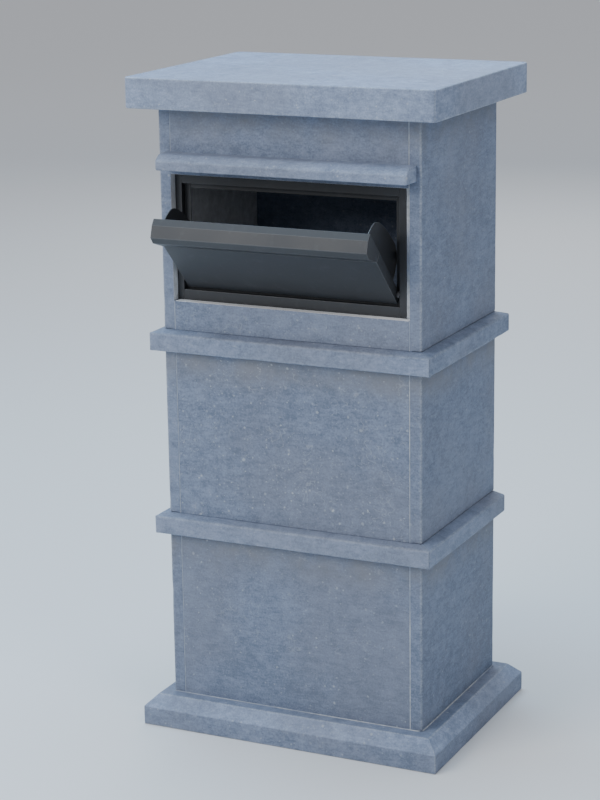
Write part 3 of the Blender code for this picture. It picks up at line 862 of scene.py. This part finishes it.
class Band:
    """One ring of mitred stones round the shaft, whose tops climb towards the wall."""

    def __init__(self, name):
        front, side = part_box(name + "_front"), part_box(name + "_right")
        self.name = name
        self.has_back = name == "upper_band"
        self.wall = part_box("middle_side_right")[1]
        self.z0, self.z1 = front[0][2], front[1][2] - BAND_RISE
        self.out_x, self.in_x = side[1][0], side[0][0]
        self.out_y = {-1: front[0][1], 1: side[1][1]}
        self.in_y = {-1: front[1][1], 1: side[1][1]}
        if self.has_back:
            self.in_y[1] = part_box(name + "_back")[0][1]

    def lift(self, points, run):
        rise = BAND_RISE * np.clip(run, 0, 1)
        points[:, 2] += rise * (points[:, 2] - self.z0) / (self.z1 - self.z0)

    def stone(self, props, tag, seed, x, y, shape, marks, near_end, near_face, pale):
        """A band stone between x and y spans; its arris is tighter where another stone meets it."""
        bm = slab_mesh([min(x), min(y), self.z0], [max(x), max(y), self.z1], seed, props, BAND_ARRIS,
                       shape, marks, lambda points: np.where(near_end(points), 0.5, 1.0),
                       lambda points: np.where(near_face(points), 0.5, 0.0),
                       pale=top_or_face(self.z1, *pale), fossil=0.6)
        stone_piece(bm, self.name + "_" + tag + "_worn", self.name + "_" + tag)

    def across(self, props, tag, end, seed):
        """The front or the back stone."""
        half = self.out_x - GAP
        y_out, y_in = self.out_y[end], self.in_y[end]

        def mitre(points):
            deep = np.clip((points[:, 1] - y_out) * -end / abs(y_out - y_in), 0, 1)
            self.lift(points, abs(points[:, 1] - y_out) / abs(abs(y_out) - self.wall[1]))
            points[:, 0] *= 1 - deep * (self.out_x - self.in_x) / half
            return points

        # Painted light: the front and back stones' faces are lightened 0.42 and their tops 0.05, more
        # than the side stones.
        self.stone(props, tag, seed, (-half, half), (y_out, y_in), mitre,
                   ((), (end * self.wall[1],), ()),
                   lambda points: half - np.abs(points[:, 0]) < BAND_ARRIS,
                   lambda points: np.abs(points[:, 1] - y_out) < 0.006, (0.05, 0.42))

    def along(self, props, tag, sign, seed):
        """The left or the right stone."""
        y0, y1 = self.out_y[-1] + GAP, self.out_y[1] - (GAP if self.has_back else 0.0)

        def mitre(points):
            into = self.out_x - points[:, 0] * sign
            deep = np.clip(into / (self.out_x - self.in_x), 0, 1)
            self.lift(points, into / (self.out_x - self.wall[0]))
            start = y0 + deep * (self.in_y[-1] - y0)
            stop = y1 + deep * (self.in_y[1] - y1)
            points[:, 1] = start + (points[:, 1] - y0) / (y1 - y0) * (stop - start)
            return points

        # Painted light: the side stones' faces are lightened 0.25 and their tops not at all, darker
        # than the front stone's faces.
        self.stone(props, tag, seed, (sign * self.out_x, sign * self.in_x), (y0, y1), mitre,
                   ((sign * self.wall[0],), (), ()),
                   lambda points: points[:, 1] - y0 < BAND_ARRIS,
                   lambda points: self.out_x - np.abs(points[:, 0]) < 0.006, (0.0, 0.25))


class PILLAR_OT_bands(bpy.types.Operator):
    """Mitred bands with weathered tops"""

    bl_idname = "pillar.bands"
    bl_label = "Bands"

    def execute(self, context):
        props = context.scene.pillar_stone
        seed = 50.0
        for name in ("lower_band", "upper_band"):
            band = Band(name)
            stones = [(band.across, "front", -1), (band.across, "back", 1),
                      (band.along, "left", -1), (band.along, "right", 1)]
            for make, tag, way in stones:
                if tag != "back" or band.has_back:
                    make(props, tag, way, seed)
                    seed += 3.1
        return {"FINISHED"}


class PILLAR_OT_moulding(bpy.types.Operator):
    """Drip moulding over the opening"""

    bl_idname = "pillar.moulding"
    bl_label = "Drip moulding"

    def execute(self, context):
        props = context.scene.pillar_stone
        lo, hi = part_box("drip_moulding")
        arris = props.moulding

        def weather(points):
            run = points[:, 1] - lo[1]
            top = np.interp(run, [0.0, DRIP_SLOPE, hi[1] - lo[1]],
                            [DRIP_FRONT, DRIP_TOP, hi[2] - lo[2]])
            points[:, 2] = lo[2] + (points[:, 2] - lo[2]) * top / (hi[2] - lo[2])
            return points

        def worn_ends(points):
            near = np.minimum(points[:, 0] - lo[0], hi[0] - points[:, 0])
            front = np.clip((hi[1] - 0.006 - points[:, 1]) / 0.01, 0.0, 1.0)
            ends = np.clip(1 - near / (2.2 * arris), 0.0, 1.0) ** 1.5
            return 0.06 + front * (0.44 + 0.30 * ends)

        bm = slab_mesh(lo, hi, 71.0, props, arris, weather, ((), (lo[1] + DRIP_SLOPE,), ()),
                       worn_ends, lambda points: np.full(len(points), 0.35), pale=0.4)
        stone_piece(bm, "drip_moulding_worn", "drip_moulding")
        return {"FINISHED"}


class PILLAR_OT_joints(bpy.types.Operator):
    """Glue in the joints beside the panels and on the base, and the mortar at the jamb"""

    bl_idname = "pillar.joints"
    bl_label = "Joint glue"

    def execute(self, context):
        props = context.scene.pillar_stone
        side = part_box("lower_side_right")
        front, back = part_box("lower_front_panel")[0][1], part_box("upper_back_panel")[1][1]
        x = side[0][0] - props.joint / 2
        depth = props.joint + 0.0004
        sunk = 0.0001 + depth / 2
        runs = []
        for node in FRONT_PANELS + ("upper_back_panel",):
            lo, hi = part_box(node)
            y = back - sunk if node == "upper_back_panel" else front + sunk
            for sign in (-1, 1):
                runs.append([(sign * x, y, lo[2] + GAP), (sign * x, y, hi[2] - GAP)])
        inset = 0.0004
        a, b, z = side[1][0] - inset, back - inset, side[0][2] - 0.0001
        ring = [(-a, -b, z), (a, -b, z), (a, b, z), (-a, b, z), (-a, -b, z)]
        bead = bead_shape()
        for name, paths, size, wander, seed in (("panel_joint_glue", runs, depth, 0.00015, 3.0),
                                                ("base_joint_glue", [ring], 0.0022, 0.0004, 8.0)):
            mesh = bead.run(lines_mesh(paths), {"Width": size, "Depth": size, "Wander": wander,
                                                "Seed": seed, "Material": finishes()["glue"]})
            place_piece(mesh, name, "glue", "pillar", smooth=False)
        mesh = plain_mesh(slab_mesh(*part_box("jamb_packer"), 5.0, props, 0.0012), "packer")
        place_piece(mesh, "jamb_packer_mortar", "glue", "pillar", ["jamb_packer"])
        return {"FINISHED"}


# ------------------------------------------------------------------ steel

PIVOT_P, PIVOT_A = 0.010, 0.0126  # the pivot's depth behind the hopper's face and height up it
LEAN = math.radians(45.0)
FRAME_STEP = 0.012  # how deep the frame's wide face goes before the narrower throat
FACE_SIDE, THROAT_SIDE = 0.006, 0.010  # clearance beside the hopper, and the throat's step in
FACE_Z, THROAT_Z = (0.7585, 0.935), (0.761, 0.926)  # bottoms and tops of both

# Hopper outlines as (depth behind its face, height up it): the first four in millimetres.
SKIN = [(0, 0), (0, 116.0), (17.8, 116.0), (17.8, 12.6), (8.3, 0)]
SKIN_POCKET = [(2, 2), (2, 121), (30, 121), (30, 2)]
LIP = [(0, 116.3), (-14.0, 143.5), (-12.3, 156.5), (5.5, 165.8), (17.7, 167.8), (17.7, 116.3)]
LIP_POCKET = [(1.3, 110), (1.3, 117.4), (-11.9, 143.8), (-10.5, 155.2), (6.1, 163.9), (17.7, 165.8),
              (24, 166.5), (24, 110)]
CHEEK = [(0.0024, 0.024), (0.0024, 0.1585), (0.018, 0.1576), (0.033, 0.1554), (0.044, 0.1524),
         (0.052, 0.1484), (0.058, 0.1415), (0.063, 0.132), (0.067, 0.1195), (0.071, 0.100),
         (0.0735, 0.078), (0.074, 0.060), (0.070, 0.046), (0.060, 0.034), (0.040, 0.027),
         (0.020, 0.024)]
CHEEK_SIDE = 0.1785  # outside of a cheek, from the middle of the insert
LUG_Y, LUG_Z = (-0.130, -0.1275), (0.831, 0.843)  # the lug that meets a stop when open
LINER = [(0.0154, 0.018), (0.0154, 0.160), (0.0174, 0.160), (0.0174, 0.018)]


def lean(p, a):
    """Depth behind the hopper face and height up it, to Y and Z in the open pose."""
    dp, da = p - PIVOT_P, a - PIVOT_A
    return (PIVOT_Y + dp * math.cos(LEAN) - da * math.sin(LEAN),
            PIVOT_Z + dp * math.sin(LEAN) + da * math.cos(LEAN))


class PILLAR_OT_frame(bpy.types.Operator):
    """Steel frame set back in the opening, four folded members"""

    bl_idname = "pillar.frame"
    bl_label = "Insert frame"

    def execute(self, context):
        props = context.scene.pillar_steel
        lo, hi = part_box("insert_frame")
        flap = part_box("hopper_skin")
        y0, y1 = lo[1], hi[1]
        step = y0 + FRAME_STEP
        face = (flap[0][0] - FACE_SIDE, flap[1][0] + FACE_SIDE)
        throat = (face[0] + THROAT_SIDE, face[1] - THROAT_SIDE)
        parts = []
        for way, outer, inner, deep in ((SHEET, lo[0], face[0], throat[0]),
                                        (-SHEET, hi[0], face[1], throat[1])):
            outline = [(outer, y1), (outer, y0), (inner, y0), (inner, step), (deep, step),
                       (deep, y1), (inner - way, y1), (inner - way, y0 + SHEET),
                       (outer + way, y0 + SHEET), (outer + way, y1)]
            parts.append(sweep(outline, "Z", (lo[2], hi[2])))
        for way, outer, inner, deep in ((SHEET, lo[2], FACE_Z[0], THROAT_Z[0]),
                                        (-SHEET, hi[2], FACE_Z[1], THROAT_Z[1])):
            outline = [(y0, outer), (y0, inner), (step - SEAM, inner), (step - SEAM, inner - way),
                       (y0 + SHEET, inner - way), (y0 + SHEET, outer)]
            parts.append(sweep(outline, "X", (face[0] + SEAM, face[1] - SEAM)))
            strip = [(step, inner - way), (step, deep), (y1, deep), (y1, inner - way)]
            parts.append(sweep(strip, "X", (throat[0] + SEAM, throat[1] - SEAM)))
        mesh = applied(merge(*parts), bevel(props.edge * 0.6, 2))
        folded_piece(mesh, "insert_frame_folded", "pillar", "insert_frame")
        return {"FINISHED"}


class PILLAR_OT_hopper(bpy.types.Operator):
    """Tilting hopper: folded front with its lip, back liner and two cheeks"""

    bl_idname = "pillar.hopper"
    bl_label = "Hopper"

    def execute(self, context):
        props = context.scene.pillar_steel
        for node, outline, radii, inside in (
                ("hopper_skin", SKIN, [0.0015, 0.0, 0.0, 0.0, 0.0], SKIN_POCKET),
                ("hopper_lip", LIP, [0.0] + [props.bend] * 3 + [0.0, 0.0], LIP_POCKET)):
            lo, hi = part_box(node)
            body = sweep(fillet([(p * MM, a * MM) for p, a in outline], radii), "X",
                         (lo[0], hi[0]), lean)
            pocket = sweep([(p * MM, a * MM) for p, a in inside], "X",
                           (lo[0] + SHEET, hi[0] - SHEET), lean)
            cut = {"operation": "DIFFERENCE", "solver": "EXACT",
                   "object": loose_object(pocket, "pocket")}
            mesh = applied(body, bevel(props.edge * 0.7, 3, 40), ("BOOLEAN", cut))
            folded_piece(mesh, node + "_folded", "hopper", node)
            for facet in mesh.polygons:
                facet.use_smooth = facet.area < 4e-4
        round_cheek = fillet(CHEEK, [0.0] + [0.012] * 15, 3)
        for sign, tag in ((-1, "left"), (1, "right")):
            def reach(inner, outer, sign=sign):
                return sorted((INSERT_X + sign * outer, INSERT_X + sign * inner))

            plate = sweep(round_cheek, "X", reach(CHEEK_SIDE - SHEET, CHEEK_SIDE), lean)
            near, far = reach(CHEEK_SIDE - 0.001, CHEEK_SIDE + 0.008)
            lug = block((near, LUG_Y[0], LUG_Z[0]), (far, LUG_Y[1], LUG_Z[1]))
            mesh = applied(merge(plate, lug), bevel(props.edge * 0.7, 2))
            folded_piece(mesh, "hopper_cheek_" + tag + "_plate", "hopper", "hopper_cheek_" + tag)
        lo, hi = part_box("hopper_liner")
        half = max(abs(lo[0] - INSERT_X), abs(hi[0] - INSERT_X))
        liner = sweep(LINER, "X", (INSERT_X - half, INSERT_X + half), lean)
        folded_piece(applied(liner, bevel(0.0004, 2)), "hopper_liner_sheet", "hopper",
                     "hopper_liner")
        return {"FINISHED"}


def turned(profile, centre, sides=40):
    """A turned part: (distance along X, radius) points spun round an axis through centre."""
    bm = bmesh.new()
    rows = []
    for along, radius in profile:
        angles = [2 * math.pi * k / sides for k in range(sides)]
        rows.append([bm.verts.new((along, centre[0] + radius * math.cos(angle),
                                   centre[1] + radius * math.sin(angle))) for angle in angles])
    bridge(bm, rows)
    if (Vector(profile[0]) - Vector(profile[-1])).length > 1e-7:
        bm.faces.new(rows[0])
        bm.faces.new(rows[-1])
    else:
        bmesh.ops.remove_doubles(bm, verts=bm.verts, dist=1e-7)
    return bm


class PILLAR_OT_pivots(bpy.types.Operator):
    """Pivot pins, bushes and rubber stops of the hopper"""

    bl_idname = "pillar.pivots"
    bl_label = "Hopper pivots"

    def execute(self, context):
        pivot = (PIVOT_Y, PIVOT_Z)
        head_depth, ease = 0.0027, 0.0004
        for tag in SIDES:
            lo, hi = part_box("pivot_pin_" + tag)
            head, tail, way = (hi[0], lo[0], -1) if tag == "left" else (lo[0], hi[0], 1)
            under = head + way * head_depth
            profile = [(head, 0.0001), (head, 0.0042), (head + way * ease, 0.005),
                       (head + way * (head_depth - ease), 0.005), (under, 0.0046), (under, 0.003),
                       (tail - way * ease, 0.003), (tail, 0.0026), (tail, 0.0001)]
            pin = plain_mesh(turned(profile, pivot), "pin")
            lo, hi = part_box("pivot_bush_" + tag)
            near, far = lo[0], hi[0]
            profile = [(near, 0.0033), (near, 0.005), (near + ease, 0.0055),
                       (far - ease, 0.0055), (far, 0.005), (far, 0.0033), (near, 0.0033)]
            bush = plain_mesh(turned(profile, pivot), "bush")
            stop = applied(block(*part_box("open_stop_" + tag)), bevel(0.0011, 4))
            for mesh, part, made, look in ((pin, "pivot_pin_", "_turned", "steel"),
                                           (bush, "pivot_bush_", "_moulded", "nylon"),
                                           (stop, "open_stop_", "_pad", "rubber")):
                place_piece(mesh, part + tag + made, look, "pillar", [part + tag])
        return {"FINISHED"}


def rounded(node, width, body, look, made="_sheet", segments=2):
    """The frame's own solid of a small or sheet part, with its edges rounded."""
    source = frame["nodes"][node]
    bm = bmesh.new()
    bm.from_mesh(source.data)
    bmesh.ops.remove_doubles(bm, verts=bm.verts, dist=1e-6)
    bmesh.ops.dissolve_limit(bm, angle_limit=0.02, verts=bm.verts, edges=bm.edges)
    mesh = applied(bm, bevel(width, segments))
    worn_edges(mesh)
    return place_piece(mesh, node + made, look, body, [node], False)


class PILLAR_OT_inside(bpy.types.Operator):
    """Hood behind the opening and the compartment floor"""

    bl_idname = "pillar.inside"
    bl_label = "Inside sheets"

    def execute(self, context):
        for node in ("anti_theft_hood", "compartment_floor"):
            rounded(node, 0.0005, "pillar", "coat")
        return {"FINISHED"}


class PILLAR_OT_door(bpy.types.Operator):
    """Rear collection door: frame, seal, leaf, backing, hinges and lock"""

    bl_idname = "pillar.door"
    bl_label = "Rear door"

    def execute(self, context):
        rounded("door_frame", 0.0010, "pillar", "coat")
        rounded("door_seal", 0.0006, "pillar", "rubber", segments=3)
        rounded("door_leaf", 0.0012, "door", "coat", segments=3)
        rounded("door_backing", 0.0006, "door", "coat")
        for node, body in (("hinge_lower_fixed", "pillar"), ("hinge_upper_fixed", "pillar"),
                           ("hinge_lower_moving", "door"), ("hinge_upper_moving", "door"),
                           ("lock_body", "door"), ("lock_nut", "door"), ("lock_cam", "lock")):
            rounded(node, 0.0004, body, "zinc", "_plated")
        for node in ("lock_plug", "cam_screw"):
            rounded(node, 0.0003, "lock", "steel", "_turned")
        lo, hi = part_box("door_frame")
        edge = (hi[0] + DOOR_BOX[1][0]) / 2
        spots = [(side * edge, hi[1], lo[2] + part * (hi[2] - lo[2]))
                 for side in (-1, 1) for part in (0.04, 0.27, 0.5, 0.73, 0.96)]
        points = bpy.data.meshes.new("rivet_places")
        points.from_pydata(spots, [], [])
        mesh = rivet_shape().run(points, {"Radius": 0.0038, "Height": 0.0014,
                                          "Facing": (0.0, 1.0, 0.0),
                                          "Material": finishes()["zinc"]})
        place_piece(mesh, "door_frame_rivets", "zinc", "pillar")
        return {"FINISHED"}


# ------------------------------------------------------------------ stage


CAMERA_AT = (1.564675, -3.392098, 1.525598)
AZIMUTH, ELEVATION, ROLL = (math.radians(v) for v in (25.614, 14.581, -0.845))
SENSOR = 36.0
FOCAL = 2282.81 * SENSOR / 800.0
FAR_FLOOR = (0.96, 0.96, 0.96)
WORLD_TINT = (0.90, 0.93, 1.0, 1.0)
LIGHTS = (  # the property that holds the power, place, aim, size, tint
    ("key", (-1.8, -3.2, 2.9), (0, 0, 0.6), 2.2, (1.0, 0.985, 0.97)),
    ("fill", (1.6, -1.0, 2.3), (0.2, 0, 1.0), 1.0, (1.0, 0.96, 0.93)),
    ("over", (-0.7, 0.2, 4.2), (0, 0, 0.6), 2.7, (0.46, 0.73, 1.0)),
    ("rear", (-1.2, 4.6, 3.0), (0, 0, 0.6), 2.4, (1.0, 0.98, 0.955)),
)


def camera_turn():
    """The camera's axes from where it stands, how high it looks down and how far it rolls."""
    back = Vector((math.sin(AZIMUTH) * math.cos(ELEVATION),
                   -math.cos(AZIMUTH) * math.cos(ELEVATION), math.sin(ELEVATION)))
    across = Vector((0, 0, 1)).cross(back).normalized()
    up = back.cross(across)
    right = across * math.cos(ROLL) + up * math.sin(ROLL)
    top = up * math.cos(ROLL) - across * math.sin(ROLL)
    return Matrix((right, top, back)).transposed().to_4x4()


class PILLAR_OT_stage(bpy.types.Operator):
    """Pale floor, soft light and the camera"""

    bl_idname = "pillar.stage"
    bl_label = "Stage"

    def execute(self, context):
        props = context.scene.pillar_stage
        scene = context.scene
        bm = bmesh.new()
        bmesh.ops.create_grid(bm, x_segments=8, y_segments=8, size=30.0)
        bmesh.ops.translate(bm, vec=(0, 0, -0.0004), verts=bm.verts)
        mesh = bpy.data.meshes.new("floor")
        bm.to_mesh(mesh)
        bm.free()
        floor = bpy.data.objects.new("floor", mesh)
        scene.collection.objects.link(floor)
        t = Tree("pale_floor")
        away = t.add("ShaderNodeVectorMath", {0: t.place}, operation="LENGTH")
        far = t.span(away.outputs["Value"], 2.5, 9.0, smooth=True)
        paint = t.blend(far, props.floor, FAR_FLOOR)
        mesh.materials.append(t.end(paint, 0.7, Specular_IOR_Level=0.2))
        world = bpy.data.worlds.new("studio")
        scene.world = world
        world.use_nodes = True
        sky = world.node_tree.nodes["Background"]
        sky.inputs["Color"].default_value = WORLD_TINT
        sky.inputs["Strength"].default_value = props.sky
        for name, place, aim, size, tint in LIGHTS:
            light = bpy.data.lights.new(name, "AREA")
            light.energy = getattr(props, name)
            light.size = size
            light.color = tint
            lamp = bpy.data.objects.new(name, light)
            lamp.location = place
            lamp.rotation_euler = (Vector(aim) - Vector(place)).to_track_quat("-Z", "Y").to_euler()
            scene.collection.objects.link(lamp)
        lens = bpy.data.cameras.new("camera")
        lens.lens = FOCAL
        lens.sensor_width = SENSOR
        lens.clip_end = 200.0
        camera = bpy.data.objects.new("camera", lens)
        camera.matrix_world = Matrix.Translation(CAMERA_AT) @ camera_turn()
        scene.collection.objects.link(camera)
        scene.camera = camera
        return {"FINISHED"}


class PILLAR_PT_panel(bpy.types.Panel):
    """Lists the pieces and their sizes"""

    bl_idname = "PILLAR_PT_panel"
    bl_label = "Stone parcel pillar"
    bl_space_type = "VIEW_3D"
    bl_region_type = "UI"
    bl_category = "Pillar"

    def draw(self, context):
        for operator in OPERATORS:
            self.layout.operator(operator.bl_idname)
        for group in ("pillar_stone", "pillar_steel", "pillar_stage"):
            box = self.layout.box()
            props = getattr(context.scene, group)
            for name in props.bl_rna.properties.keys():
                if name not in ("rna_type", "name"):
                    box.prop(props, name)


GROUPS = {"pillar_stone": PillarStone, "pillar_steel": PillarSteel, "pillar_stage": PillarStage}
OPERATORS = (PILLAR_OT_stage, PILLAR_OT_slabs, PILLAR_OT_base, PILLAR_OT_cap, PILLAR_OT_bands,
             PILLAR_OT_moulding, PILLAR_OT_joints, PILLAR_OT_frame, PILLAR_OT_hopper,
             PILLAR_OT_pivots, PILLAR_OT_inside, PILLAR_OT_door)


def register():
    for cls in (*GROUPS.values(), *OPERATORS, PILLAR_PT_panel):
        bpy.utils.register_class(cls)
    for name, cls in GROUPS.items():
        setattr(bpy.types.Scene, name, bpy.props.PointerProperty(type=cls))


def unregister():
    for name in GROUPS:
        delattr(bpy.types.Scene, name)
    for cls in (PILLAR_PT_panel, *reversed(OPERATORS), *GROUPS.values()):
        bpy.utils.unregister_class(cls)


def main():
    register()
    for operator in OPERATORS:
        group, name = operator.bl_idname.split(".")
        getattr(getattr(bpy.ops, group), name)()


if __name__ == "__main__":
    main()
